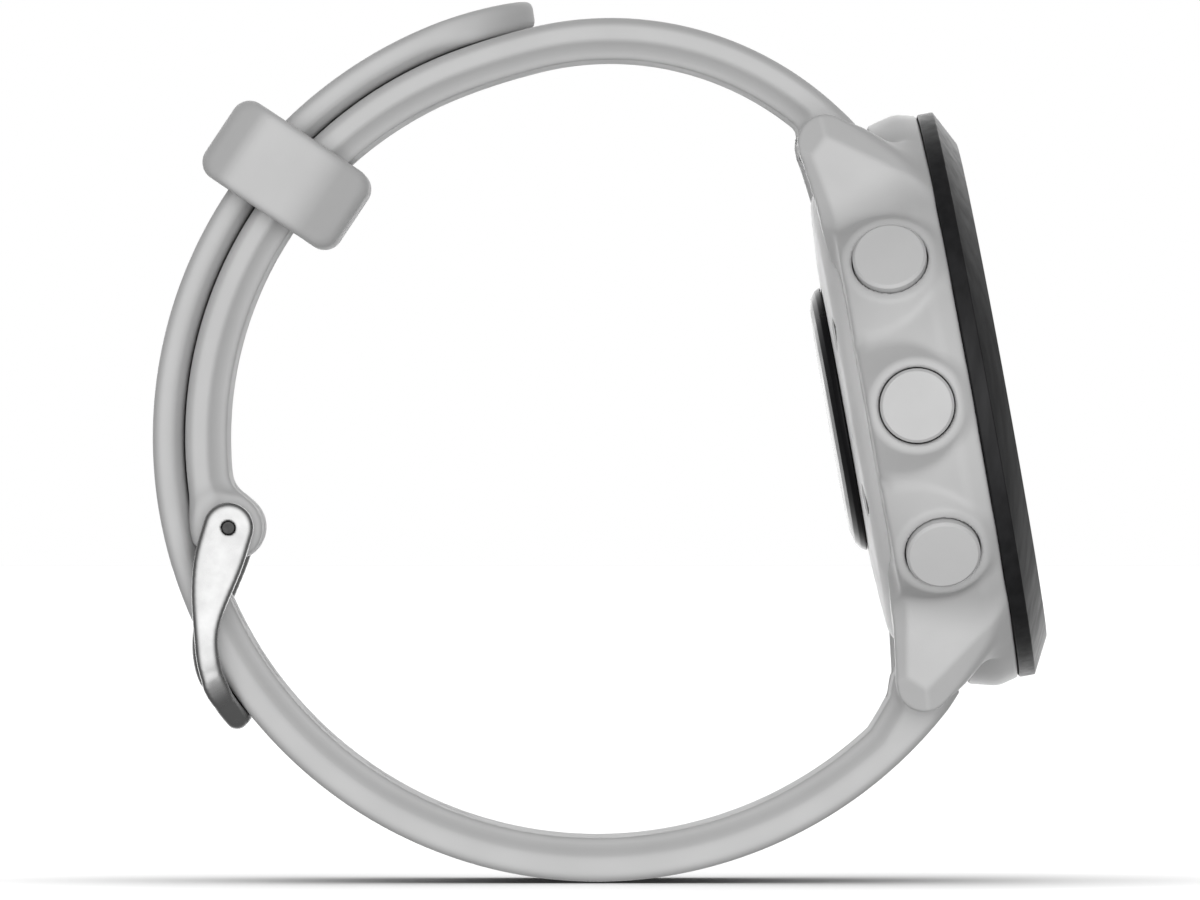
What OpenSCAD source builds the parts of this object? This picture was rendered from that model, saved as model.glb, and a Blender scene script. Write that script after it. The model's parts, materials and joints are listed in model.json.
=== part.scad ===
// GPS running watch, buckled, with every shell, button, board and strap piece separate.
// Frame: origin at the centre of the strap loop, +X towards the display side,
// Y along the spring bars (the three-button side faces -Y), +Z up. Millimetres.
// Inside the case a second frame is used, placed by in_case(): x towards 3 o'clock,
// y towards 12 o'clock, z out through the display, z = 0 on the button axes.

/* [Case] */
// Outer radius of the bezel ring
bezel_r = 21; // [20.8:0.1:21.2]
// Height of the lens face above the button axes
face_z = 6.65; // [6.5:0.05:6.8]
// Depth of the case back below the button axes
back_z = 5.1; // [5:0.05:5.2]
// Radius of the visible glass
lens_r = 18.15; // [18:0.05:18.2]
// Lean of the case from upright, in degrees
case_tilt = 10.34; // [9:0.1:11]
// Clear width between a pair of lugs
lug_gap = 20.6; // [20.4:0.1:20.8]

/* [Buttons] */
// Radius of a button cap
cap_r = 2.7; // [2.6:0.05:2.75]
// Distance from the case axis to the face of a button
cap_face = 22.2; // [22.1:0.05:22.4]
// How far a button travels
press = 0.45; // [0.3:0.05:0.5]
// Angle between neighbouring buttons
button_step = 30; // [29:0.5:31]

/* [Strap] */
// Width of the strap
strap_w = 20; // [19.6:0.1:20.2]
// Outer radius of the long half of the strap
loop_r = 32.4; // [32.3:0.1:32.5]
// Thickness of the long half between lug and buckle
strap_t = 3.1; // [3:0.05:3.1]
// Thickness of the free tail
tail_t = 2.1; // [2:0.05:2.1]
// Outer radius of the short half where the tail lies on it
under_r = 30.2; // [30:0.05:30.2]
// Distance between neighbouring adjustment holes, in degrees of the loop
hole_step = 11.5; // [11:0.25:12]

/* [Buckle and keeper] */
// Thickness of a buckle arm
arm_t = 1.5; // [1.3:0.1:1.7]
// Height of the keeper across the two strap layers
keeper_h = 11.6; // [11:0.1:12]
// Width of the keeper along the strap
keeper_w = 6.4; // [5:0.1:7]
// Skew of the keeper on the strap, in degrees
keeper_skew = -6.5; // [-7:0.5:0]

/* [Hidden] */
$fn = 96;
eps = 0.01;
case_x = 23.2;
case_z = 2.3;
case_grey = [0.76, 0.77, 0.78];
strap_grey = [0.73, 0.74, 0.75];
dark = [0.17, 0.17, 0.18];
steel = [0.72, 0.73, 0.74];
brass = [0.85, 0.68, 0.35];
board_green = [0.10, 0.33, 0.24];

// Case body: the band of wall above and below the buttons
bezel_z = 4.1;
cavity_r = 18;
cavity_floor = -1.7;
back_seat_r = 15.9;
back_r = 17.4;
seat_z = -3.5;
cavity_flat = 16.9;
wall_profile = [
    [0, seat_z], [back_r + 0.1, seat_z], [back_r + 0.1, -4.0], [19.3, -3.6], [19.9, -3.0],
    [20.35, -1.0], [20.7, 0.4], [21.36, 2.5], [20.95, bezel_z], [0, bezel_z]
];
tongue_in = 18.9;
tongue_out = 19.7;
tongue_z = 3.4;

// Lugs and spring bars, in the case frame
bar_y = 20.1;
bar_z = -3;
lug_tip_r = 2;
lug_t = 3.7;
lug_outline = [
    [9, -3.6], [16.6, -4.45], [19.7, -4.96], [bar_y, bar_z], [22.06, -2.6],
    [20.8, -0.2], [18.6, 2.3], [15.2, 3.9], [9, 3.9]
];
facet_edge = [20.5, -2.95];
facet_turn = 35.4;
facet_slope = 39;
bar_pocket_r = 2.25;
notch_y = 19;
notch_z = 0.35;
tip_r = 0.42;
tip_hole_r = 0.46;
tip_end = 11.9;
tip_hole_end = 12.1;
sleeve_r = 0.9;
sleeve_bore = 0.5;
sleeve_half = 9.4;
release_x = 6.2;
release_travel = 1.5;
knuckle_r = 1.95;

// Buttons: distances are measured outwards from the case axis
left_buttons = [180 - button_step, 180, 180 + button_step];
right_buttons = [button_step, -button_step];
all_buttons = concat(left_buttons, right_buttons);
boss_face = 21.7;
boss_face_r = 3.3;
boss_base = 19.9;
boss_base_r = 4.4;
recess_r = cap_r + 0.12;
recess_floor = 19.3;
cap_skirt = recess_floor + press + 0.1;
stem_r = 0.75;
stem_bore_r = 0.8;
stem_end = 17.3;
clip_at = 17.5;
clip_t = 0.2;
clip_r = 1.3;
clip_neck_r = 0.5;
pocket_in = 1.1;
pocket_out = 2.25;
pocket_top = 21.1;
spring_mean_r = 1.7;
spring_wire = 0.16;
seal_at = 18.95;
seal_r = 1.02;
seal_wire = 0.2;
seal_pocket_r = 1.25;
seal_pocket_floor = 18.6;
switch_r = 16.2;
switch_top = 16.7;

// Display and electronics stack, heights in the case frame
glass_z = 5.45;
gasket_z = 5.2;
panel_z = 4.5;
panel_r = 16.6;
carrier_z = 3.3;
carrier_top = 4.4;
pcb_z = 2.3;
pcb_top = 3.1;
pcb_r = 16.8;
battery_size = [20, 15, 3];
battery_at = [0, 2.5, -2.5];
sensor_z = 6.2;
sensor_r = 9.85;
sensor_hole = 8.6;
motor_at = [-5.5, -10.5, -2.6];
motor_r = 3.6;
motor_h = 2.8;
sounder_at = [5.2, -10.5, -2.6];
screw_ring = 14.6;
screw_angles = [25, 155, 205, 335];
screw_r = 0.6;
screw_head_r = 1.1;
contact_y = -12.6;
contact_pitch = 1.9;

// Buckle: all places are [X, Z] in the row frame
pin = [-26.9, -6.6];
pin_r = 0.75;
pin_tip_r = 0.45;
arm_hole_r = 0.5;
arm_gap = 20.8;
arm_end_r = 1.85;
arm_neck_r = 0.85;
arm_path = [pin, [-28.4, -11.5], [-29.9, -16.5], [-26.3, -20.5]];
tongue_path = [pin, [-28.3, -10.2], [-30.6, -15.2], [-28.35, -18.7]];
tongue_w = 1.7;
tongue_t = 1.0;
tongue_eye_r = 1.55;
eye_r = 2.45;
eye_bore = 0.8;
slot_w = 2.3;
steps = 24;

// Strap paths, in degrees of the loop, anticlockwise from +X seen from -Y
tip_angle = 98.5;
tail_end = 200;
thick_start = 206;
lower_bend = 313;
lower_end = 324.7;
lower_shoulder = [31.2, 326];
lower_heel = [[28, 321], [28.6, 318.5]];
arc_step = 3.5;
used_hole = 203;
band_r = loop_r - strap_t;
tail_r = loop_r - tail_t;
under_t = 3;
under_end = 190;
bridge_start = 110.8;
bridge_end = 103.7;
bridge_r = 50;
tip_bend = 103.4;
shoulder_r = 24.4;
shoulder_end = 41.3;
keeper_angle = 139.8;
keeper_r = 29.8;
keeper_corner = 1.4;
keeper_span = 24.4;
keeper_in_h = 6.6;
keeper_in_w = 20.7;

function polar(r, a) = [r * cos(a), r * sin(a)];
function bezier(p, t) =
    pow(1 - t, 3) * p[0] + 3 * pow(1 - t, 2) * t * p[1] + 3 * (1 - t) * t * t * p[2] + pow(t, 3) * p[3];
function heading(p, t) =
    3 * pow(1 - t, 2) * (p[1] - p[0]) + 6 * (1 - t) * t * (p[2] - p[1]) + 3 * t * t * (p[3] - p[2]);
function side_of(p, t) = [-heading(p, t)[1], heading(p, t)[0]] / norm(heading(p, t));
function fade(t) = let (s = min(1, max(0, (t - 0.1) / 0.5))) pow(1 - s, 2) * (1 + 2 * s);
function arm_half(t) = arm_neck_r + (arm_end_r - arm_neck_r) * fade(t);
function tongue_half(t) = tongue_t / 2 * (t < 0.9 ? 1 : 1 - 0.5 * pow((t - 0.9) / 0.1, 2));
bridge_centre = polar(under_r - bridge_r, bridge_start);
shoulder_centre = bridge_centre + polar(bridge_r - shoulder_r, bridge_end);

// Places children, drawn in the case frame, in the row frame
module in_case() {
    translate([case_x, 0, case_z]) rotate([0, -case_tilt, 0]) rotate([90, 0, 90]) children();
}

// Turns a shape drawn along +z to point outwards from the case axis at angle a
module at_button(a) {
    rotate([0, 0, a]) rotate([0, 90, 0]) children();
}

// Flat ring between two heights
module ring(r_in, r_out, low, high) {
    translate([0, 0, low]) difference() {
        cylinder(r = r_out, h = high - low);
        translate([0, 0, -1]) cylinder(r = r_in, h = high - low + 2);
    }
}

// Plain disc between two heights
module disc(r, low, high) {
    translate([0, 0, low]) cylinder(r = r, h = high - low);
}

// Box centred in x and y, standing on its place
module block(place, size) {
    translate([place[0] - size[0] / 2, place[1] - size[1] / 2, place[2]]) cube(size);
}

// Rod along y between two values of y, through the [X, Z] place p
module cross_rod(p, r, y0, y1) {
    translate([p[0], y1, p[1]]) rotate([90, 0, 0]) cylinder(r = r, h = y1 - y0);
}

// Rod along the case's x axis through a spring bar's place, side is 1 at 12 o'clock
module bar_rod(side, r, x0, x1) {
    translate([x0, side * bar_y, bar_z]) rotate([0, 90, 0]) cylinder(r = r, h = x1 - x0);
}

// Extrudes an [X, Z] outline along y
module slab(y0, y1) {
    translate([0, y1, 0]) rotate([90, 0, 0]) linear_extrude(height = y1 - y0) children();
}

// Round wire wound along +z, as one solid
module coil(mean_r, wire_r, length, turns, per_turn = 12, sides = 6) {
    rings = turns * per_turn;
    rise = (length - 2 * wire_r) / rings;
    points = [
        for (i = [0 : rings], j = [0 : sides - 1])
        let (a = i * 360 / per_turn, b = j * 360 / sides, r = mean_r + wire_r * cos(b))
        [r * cos(a), r * sin(a), wire_r + i * rise + wire_r * sin(b)]
    ];
    walls = [
        for (i = [0 : rings - 1], j = [0 : sides - 1])
        let (k = (j + 1) % sides)
        [i * sides + j, i * sides + k, (i + 1) * sides + k, (i + 1) * sides + j]
    ];
    start_cap = [for (j = [sides - 1 : -1 : 0]) j];
    end_cap = [for (j = [0 : sides - 1]) rings * sides + j];
    polyhedron(points, concat([start_cap], walls, [end_cap]), convexity = 10);
}

// ---------- Case shell ----------

module lug(side, hand) {
    mirror([hand < 0 ? 1 : 0, 0, 0]) mirror([0, side < 0 ? 1 : 0, 0]) difference() {
        translate([lug_gap / 2, 0, 0]) rotate([90, 0, 90]) linear_extrude(height = lug_t) union() {
            polygon(lug_outline);
            translate([bar_y, bar_z]) circle(r = lug_tip_r);
        }
        translate([lug_gap / 2 + lug_t, facet_edge[0], facet_edge[1]]) rotate([facet_turn, 0, 0])
            rotate([0, 0, facet_slope]) translate([0, -20, -20]) cube(40);
    }
}

module button_boss(a) {
    intersection() {
        at_button(a) translate([0, 0, boss_base])
            cylinder(r1 = boss_base_r, r2 = boss_face_r, h = boss_face - boss_base);
        disc(bezel_r + 2, seat_z, bezel_z);
    }
}

module button_bore(a) {
    at_button(a) {
        disc(recess_r, recess_floor, cap_face + 2);
        disc(seal_pocket_r, seal_pocket_floor, recess_floor + 1);
        disc(stem_bore_r, switch_r, recess_floor + 1);
    }
}

module screw_place(a) {
    rotate([0, 0, a]) translate([screw_ring, 0, 0]) children();
}

module case_body() {
    color(case_grey) in_case() difference() {
        union() {
            difference() {
                union() {
                    rotate_extrude() polygon(wall_profile);
                    for (a = all_buttons) button_boss(a);
                    for (side = [-1, 1], hand = [-1, 1]) lug(side, hand);
                }
                intersection() {
                    disc(cavity_r, cavity_floor, bezel_z + 1);
                    block([0, 0, cavity_floor - 1], [50, 2 * cavity_flat, 20]);
                }
                disc(cavity_r, 0.4, bezel_z + 1);
                disc(back_seat_r, -6, cavity_floor + eps);
                disc(back_r + 0.05, -6, seat_z);
            }
            for (a = screw_angles) screw_place(a) disc(1.6, seat_z, cavity_floor);
        }
        for (a = all_buttons) button_bore(a);
        for (a = screw_angles) screw_place(a) disc(screw_r - 0.1, -5, cavity_floor + 1);
        for (side = [-1, 1]) {
            bar_rod(side, bar_pocket_r, -lug_gap / 2, lug_gap / 2);
            block([0, side * (notch_y + 3), seat_z - 1], [lug_gap, 6, notch_z - seat_z + 1]);
            bar_rod(side, tip_hole_r, -tip_hole_end, tip_hole_end);
        }
        ring(tongue_in - 0.05, tongue_out + 0.05, tongue_z - 0.05, bezel_z + 1);
        ring(16.25, 17.05, seat_z - 0.1, seat_z + 0.4);
    }
}

module bezel() {
    profile = [
        [17.2, 4.45], [17.2, gasket_z], [lens_r + 0.05, gasket_z], [lens_r + 0.05, face_z - 0.05],
        [18.4, face_z], [bezel_r, 5.3], [bezel_r, 4.3], [bezel_r - 0.2, bezel_z],
        [tongue_out, bezel_z], [tongue_out, tongue_z], [tongue_in, tongue_z],
        [tongue_in, bezel_z], [cavity_r, bezel_z], [cavity_r - 0.3, 4.45]
    ];
    color(dark) in_case() rotate_extrude() polygon(profile);
}

module lens() {
    profile = [
        [0, glass_z], [lens_r, glass_z], [lens_r, face_z - 0.15], [lens_r - 0.15, face_z], [0, face_z]
    ];
    color([0.06, 0.07, 0.08]) in_case() rotate_extrude() polygon(profile);
}

module lens_gasket() {
    color([0.1, 0.1, 0.1]) in_case() ring(17.25, lens_r, gasket_z, glass_z);
}

module case_back() {
    profile = [
        [sensor_hole, seat_z], [sensor_hole, -back_z], [10.1, -back_z], [12.5, 0.1 - back_z],
        [14, 0.3 - back_z], [15.6, 0.5 - back_z], [16.7, 0.85 - back_z], [back_r, -4.0],
        [back_r, seat_z]
    ];
    color(case_grey) in_case() difference() {
        rotate_extrude() polygon(profile);
        for (a = screw_angles) screw_place(a) {
            disc(screw_r + 0.05, -6, 0);
            disc(screw_head_r + 0.05, -6, -4.1);
        }
        for (x = [-0.5, 0.5], y = [-0.5, 0.5])
            translate([x * contact_pitch, contact_y + y * contact_pitch, 0]) disc(0.55, -6, 0);
    }
}

module case_back_gasket() {
    color([0.12, 0.12, 0.12]) in_case() ring(16.3, 17, seat_z, seat_z + 0.35);
}

module case_back_screws() {
    color(steel) in_case() for (a = screw_angles) screw_place(a) difference() {
        union() {
            disc(screw_r - 0.12, -4.2, -1.9);
            disc(screw_head_r, -4.6, -4.1);
        }
        translate([0, 0, -4.8]) cylinder(r = 0.45, h = 0.5, $fn = 6);
    }
}

module sensor_window() {
    profile = [
        [0, -sensor_z], [8.25, -sensor_z], [8.95, -6.02], [9.55, -5.6], [sensor_r, -5.25],
        [sensor_r, -back_z], [sensor_hole - 0.05, -back_z], [sensor_hole - 0.05, -3.6],
        [7.6, -3.6], [7.6, -5.4], [0, -5.4]
    ];
    color([0.08, 0.08, 0.09]) in_case() rotate_extrude() polygon(profile);
}

// ---------- Display and electronics ----------

module display_panel() {
    color([0.15, 0.2, 0.18]) in_case() disc(panel_r, panel_z, glass_z - 0.05);
}

module display_carrier() {
    color([0.25, 0.25, 0.27]) in_case() difference() {
        union() {
            disc(panel_r, carrier_z, carrier_top - 0.3);
            ring(panel_r - 1, panel_r, carrier_z, carrier_top);
        }
        block([0, -13, carrier_z - 1], [9, 2, 3]);
        for (a = [45 : 90 : 315]) rotate([0, 0, a]) translate([14, 0, 0]) disc(0.8, 3, 5);
    }
}

module display_flex() {
    color([0.72, 0.45, 0.15]) in_case() union() {
        block([0, -13, pcb_top], [7, 0.2, panel_z - pcb_top]);
        block([0, -12.3, pcb_top], [7, 1.6, 0.15]);
    }
}

module gps_antenna() {
    color(brass) in_case() union() {
        translate([0, 0, 3.2]) rotate([0, 0, -35]) rotate_extrude(angle = 250)
            translate([17, 0]) square([0.7, 0.8]);
        rotate([0, 0, 90]) block([16.95, 0, pcb_top - 0.6], [0.3, 1.4, 0.8]);
    }
}

module main_board() {
    color(board_green) in_case() difference() {
        disc(pcb_r, pcb_z, pcb_top);
        for (a = [45 : 90 : 315]) rotate([0, 0, a]) translate([15.4, 0, 0]) disc(0.8, 2, 4);
        block([0, 17.2, 2], [6, 1.6, 2]);
    }
}

module shield_can() {
    color([0.8, 0.81, 0.82]) in_case() difference() {
        block([-5, 5, 0.9], [13, 12, 1.4]);
        block([-5, 5, 1.1], [12.6, 11.6, 2]);
    }
}

module board_chips() {
    chips = [
        [8, 7.5, 7, 7, 1.1], [8, -1, 5, 4, 0.9], [-8, -5, 5, 3, 1], [0, -8.5, 8, 2.4, 1.1],
        [8.5, -7, 3, 3, 0.8], [-5, 5, 6, 6, 0.9]
    ];
    color([0.1, 0.1, 0.11]) in_case() for (c = chips)
        block([c[0], c[1], pcb_z - c[4]], [c[2], c[3], c[4]]);
}

module battery() {
    color([0.75, 0.77, 0.8]) in_case() union() {
        block(battery_at, battery_size);
        block([0, battery_at[1] + battery_size[1] / 2 + 0.6, -1.6], [8, 1.2, 1.2]);
    }
}

module battery_pad() {
    color([0.15, 0.15, 0.15]) in_case() block([0, 2.5, -2.85], [12, 10, 0.35]);
}

module vibration_motor_case() {
    color(steel) in_case() translate(motor_at) union() {
        difference() {
            disc(motor_r, 0, motor_h);
            disc(motor_r - 0.25, 0.25, motor_h - 0.25);
        }
        disc(0.4, 0.1, motor_h - 0.1);
    }
}

module vibration_motor_rotor() {
    color(brass) in_case() translate(motor_at) difference() {
        union() {
            disc(1.1, 0.6, 2.2);
            intersection() {
                disc(3, 0.6, 2.2);
                translate([-4, 0, 0]) cube([8, 4, 3]);
            }
        }
        disc(0.45, 0, motor_h);
    }
}

module sounder() {
    color(brass) in_case() translate(sounder_at) union() {
        disc(3.8, 0, 0.3);
        disc(2.9, 0.3, 0.6);
    }
}

module switch_flex(places) {
    start = min(places) - 8;
    sweep = max(places) - min(places) + 16;
    in_case() union() {
        color([0.72, 0.45, 0.15]) translate([0, 0, -1.6]) rotate([0, 0, start])
            rotate_extrude(angle = sweep) translate([switch_r - 0.2, 0]) square([0.2, 3.2]);
        color(steel) for (a = places) at_button(a) disc(1.3, switch_r - 0.1, switch_top);
    }
}

module sensor_board() {
    color(board_green) in_case() disc(8.3, -3.55, -2.95);
}

module sensor_leds() {
    color([0.3, 0.75, 0.4]) in_case() for (a = [0 : 120 : 240]) rotate([0, 0, a]) {
        block([3.4, 0, -4.35], [1.4, 1.4, 0.8]);
        rotate([0, 0, 60]) block([3.8, 0, -4.25], [2, 2.4, 0.7]);
    }
}

module charging_contacts() {
    color(brass) in_case() for (x = [-0.5, 0.5], y = [-0.5, 0.5])
        translate([x * contact_pitch, contact_y + y * contact_pitch, 0]) disc(0.5, -4.85, -3.1);
}

// ---------- Buttons ----------

module button(a) {
    color(case_grey) in_case() at_button(a) difference() {
        union() {
            disc(cap_r, cap_skirt, cap_face - 0.2);
            translate([0, 0, cap_face - 0.2]) cylinder(r1 = cap_r, r2 = cap_r - 0.2, h = 0.2);
            disc(stem_r, stem_end, pocket_top + 0.5);
        }
        ring(pocket_in, pocket_out, cap_skirt - 1, pocket_top);
        ring(stem_r, pocket_in + eps, cap_skirt - 1, pocket_top);
        ring(clip_neck_r, 1, clip_at - 0.03, clip_at + clip_t + 0.03);
    }
}

module clip(a) {
    color(steel) in_case() at_button(a) difference() {
        ring(clip_neck_r + 0.02, clip_r, clip_at, clip_at + clip_t);
        translate([0, -0.35, clip_at - 1]) cube([2, 0.7, 3]);
    }
}

module button_spring(a) {
    color(steel) in_case() at_button(a) translate([0, 0, recess_floor + eps])
        coil(spring_mean_r, spring_wire, pocket_top - recess_floor - 2 * eps, 3);
}

module button_seals() {
    color([0.1, 0.1, 0.1]) in_case() for (a = all_buttons) at_button(a)
        translate([0, 0, seal_at]) rotate_extrude() translate([seal_r, 0]) circle(r = seal_wire);
}

// ---------- Strap ----------

// Points along an arc about the [X, Z] place c, leaving out the first where skip is 1
function arc(c, r, a0, a1, skip = 0) =
    let (n = ceil(abs(a1 - a0) / arc_step))
    [for (i = [skip : n]) c + polar(r, a0 + (a1 - a0) * i / n)];

// Adjustment hole at angle a of the loop, length along the strap
module strap_hole(a, length, width) {
    rotate([0, -a, 0]) translate([band_r - 4, 0, 0]) rotate([0, 90, 0])
        linear_extrude(height = 12) union() {
            square([length - width, width], center = true);
            for (s = [-1, 1]) translate([s * (length - width) / 2, 0]) circle(d = width);
        }
}

// Pocket and slot that a quick-release lever slides in, side is 1 at 12 o'clock
module release_slot(side) {
    translate([release_x - 1.2 - release_travel, side * bar_y - 1, bar_z - 2.6])
        cube([release_travel + 2.4, 2, 2.6]);
}

module strap_short() {
    half = strap_w / 2;
    in_bridge = bridge_r - under_t;
    in_shoulder = shoulder_r - under_t;
    outline = concat(
        arc(shoulder_centre, shoulder_r, shoulder_end, bridge_end),
        arc(bridge_centre, bridge_r, bridge_end, bridge_start, 1),
        arc([0, 0], under_r, bridge_start, under_end, 1),
        arc([0, 0], under_r - under_t, under_end, bridge_start),
        arc(bridge_centre, in_bridge, bridge_start, bridge_end, 1),
        arc(shoulder_centre, in_shoulder, bridge_end, shoulder_end, 1)
    );
    color(strap_grey) difference() {
        union() {
            slab(-half, half) polygon(outline);
            in_case() bar_rod(1, knuckle_r, -half, half);
            cross_rod(pin, eye_r, -half, half);
        }
        in_case() bar_rod(1, sleeve_r + 0.03, -half - 1, half + 1);
        in_case() release_slot(1);
        cross_rod(pin, eye_bore, -half - 1, half + 1);
        cross_rod(pin, eye_r + 0.4, -slot_w / 2, slot_w / 2);
    }
}

// What is cut from the square end of the tail to leave it round
module tip_cutter() {
    half = strap_w / 2;
    rotate([0, -tip_angle - asin(half / loop_r), 0]) translate([band_r, 0, 0]) difference() {
        translate([-4, -half - 1, -half - 5]) cube([12, strap_w + 2, half + 5]);
        translate([-5, 0, 0]) rotate([0, 90, 0]) cylinder(r = half, h = 14);
    }
}

module strap_long() {
    half = strap_w / 2;
    outline = concat(
        arc([0, 0], loop_r, tip_angle, lower_end),
        [for (p = concat([lower_shoulder], lower_heel)) polar(p[0], p[1])],
        arc([0, 0], band_r, lower_bend, thick_start),
        arc([0, 0], tail_r, tail_end, bridge_start),
        arc(bridge_centre, bridge_r + tail_r - under_r, bridge_start, tip_bend, 1)
    );
    color(strap_grey) difference() {
        union() {
            slab(-half, half) polygon(outline);
            in_case() bar_rod(-1, knuckle_r, -half, half);
        }
        tip_cutter();
        in_case() bar_rod(-1, sleeve_r + 0.03, -half - 1, half + 1);
        in_case() release_slot(-1);
        strap_hole(used_hole, 5.6, 2.4);
        for (i = [1 : 8]) strap_hole(used_hole - i * hole_step, 3.2, 2.2);
        for (i = [1 : 4]) strap_hole(used_hole + i * hole_step, 3.2, 2.2);
    }
}

module rounded_rect(w, h, r) {
    square([w - 2 * r, h], center = true);
    square([w, h - 2 * r], center = true);
    for (x = [-1, 1], y = [-1, 1]) translate([x * (w / 2 - r), y * (h / 2 - r)]) circle(r = r);
}

module keeper_loop() {
    color(strap_grey) rotate([0, -keeper_angle, 0]) translate([keeper_r, 0, 0])
        rotate([0, keeper_skew, 0]) difference() {
            translate([0, keeper_span / 2, 0]) rotate([90, 0, 0]) linear_extrude(height = keeper_span)
                rounded_rect(keeper_h, keeper_w, keeper_corner);
            cube([keeper_in_h, keeper_in_w, 2 * keeper_w], center = true);
        }
}

// ---------- Buckle ----------

// Outline of a bent strip along a curve, between two values of its parameter
module strip(path, t0, t1, is_arm) {
    place = [for (i = [0 : steps]) t0 + (t1 - t0) * i / steps];
    half = [for (t = place) is_arm ? arm_half(t) : tongue_half(t)];
    polygon(concat(
        [for (i = [0 : steps]) bezier(path, place[i]) + half[i] * side_of(path, place[i])],
        [for (i = [steps : -1 : 0]) bezier(path, place[i]) - half[i] * side_of(path, place[i])]
    ));
}

module arm_side() {
    strip(arm_path, 0, 1, true);
    translate(pin) circle(r = arm_end_r);
    translate(arm_path[3]) circle(r = arm_neck_r);
}

module buckle_frame() {
    outer = arm_gap / 2 + arm_t;
    color(steel) difference() {
        union() {
            slab(-outer, -arm_gap / 2) arm_side();
            slab(arm_gap / 2, outer) arm_side();
            difference() {
                slab(-arm_gap / 2 - eps, arm_gap / 2 + eps) union() {
                    strip(arm_path, 0.8, 1, true);
                    translate(arm_path[3]) circle(r = arm_neck_r);
                }
                cross_rod([0, 0], loop_r + 0.1, -arm_gap / 2, arm_gap / 2);
            }
        }
        cross_rod(pin, arm_hole_r, -outer - 1, outer + 1);
        slab(-tongue_w / 2 - 0.2, tongue_w / 2 + 0.2) tongue_notch();
    }
}

// Room for the tongue's tip in the cross bar
module tongue_notch() {
    wide = [for (i = [0 : 8]) 0.7 + 0.33 * i / 8];
    polygon(concat(
        [for (t = wide) bezier(tongue_path, t) + 3 * side_of(tongue_path, t)],
        [for (i = [8 : -1 : 0]) bezier(tongue_path, wide[i]) - (tongue_t / 2 + 0.12) * side_of(tongue_path, wide[i])]
    ));
}

module buckle_tongue() {
    color(steel) difference() {
        union() {
            slab(-tongue_w / 2, tongue_w / 2) strip(tongue_path, 0.05, 1, false);
            cross_rod(pin, tongue_eye_r, -tongue_w / 2, tongue_w / 2);
        }
        cross_rod(pin, eye_bore, -tongue_w, tongue_w);
    }
}

module buckle_bar_sleeve() {
    color(steel) difference() {
        cross_rod(pin, pin_r, -9.8, 9.8);
        cross_rod(pin, pin_tip_r + 0.03, -11, 11);
    }
}

module buckle_bar_tips() {
    color(steel) for (s = [-1, 1]) cross_rod(pin, pin_tip_r, min(s * 6, s * 11.8), max(s * 6, s * 11.8));
}

// ---------- Spring bars ----------

module bar_sleeve(side) {
    color(steel) in_case() difference() {
        bar_rod(side, sleeve_r, -sleeve_half, sleeve_half);
        bar_rod(side, sleeve_bore, -sleeve_half - 1, sleeve_half + 1);
        translate([release_x - 0.6 - release_travel, side * bar_y - 0.45, bar_z - 2])
            cube([release_travel + 1.2, 0.9, 2]);
    }
}

module bar_tip(side) {
    color(steel) in_case() bar_rod(side, tip_r, -tip_end, -sleeve_half + 4);
}

module bar_release(side) {
    color(steel) in_case() union() {
        bar_rod(side, tip_r, release_x - 1, tip_end);
        translate([release_x - 0.4, side * bar_y - 0.3, bar_z - 1.5]) cube([0.8, 0.6, 1.5]);
        translate([release_x - 1, side * bar_y - 0.8, bar_z - 1.9]) cube([2, 1.6, 0.6]);
    }
}

module bar_spring(side) {
    x0 = -sleeve_half + 4 + eps;
    x1 = release_x - 1 - eps;
    color(steel) in_case() difference() {
        bar_rod(side, tip_r, x0, x1);
        bar_rod(side, tip_r - 0.12, x0 - 1, x1 + 1);
    }
}

case_body();
bezel();
lens();
lens_gasket();
display_panel();
display_carrier();
display_flex();
gps_antenna();
main_board();
shield_can();
board_chips();
battery();
battery_pad();
vibration_motor_case();
vibration_motor_rotor();
sounder();
switch_flex(left_buttons);  // switch_flex_left
switch_flex(right_buttons);  // switch_flex_right
case_back();
case_back_gasket();
case_back_screws();
sensor_window();
sensor_board();
sensor_leds();
charging_contacts();
button(all_buttons[0]);  // button_light
button(all_buttons[1]);  // button_up
button(all_buttons[2]);  // button_down
button(all_buttons[3]);  // button_start
button(all_buttons[4]);  // button_back
clip(all_buttons[0]);  // clip_light
clip(all_buttons[1]);  // clip_up
clip(all_buttons[2]);  // clip_down
clip(all_buttons[3]);  // clip_start
clip(all_buttons[4]);  // clip_back
button_spring(all_buttons[0]);  // spring_light
button_spring(all_buttons[1]);  // spring_up
button_spring(all_buttons[2]);  // spring_down
button_spring(all_buttons[3]);  // spring_start
button_spring(all_buttons[4]);  // spring_back
button_seals();
strap_short();
strap_long();
keeper_loop();
buckle_frame();
buckle_tongue();
buckle_bar_sleeve();
buckle_bar_tips();
bar_sleeve(1);  // upper_bar_sleeve
bar_tip(1);  // upper_bar_tip
bar_release(1);  // upper_bar_release
bar_sleeve(-1);  // lower_bar_sleeve
bar_tip(-1);  // lower_bar_tip
bar_release(-1);  // lower_bar_release
bar_spring(1);  // upper_bar_spring
bar_spring(-1);  // lower_bar_spring
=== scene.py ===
import json
import math

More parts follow.
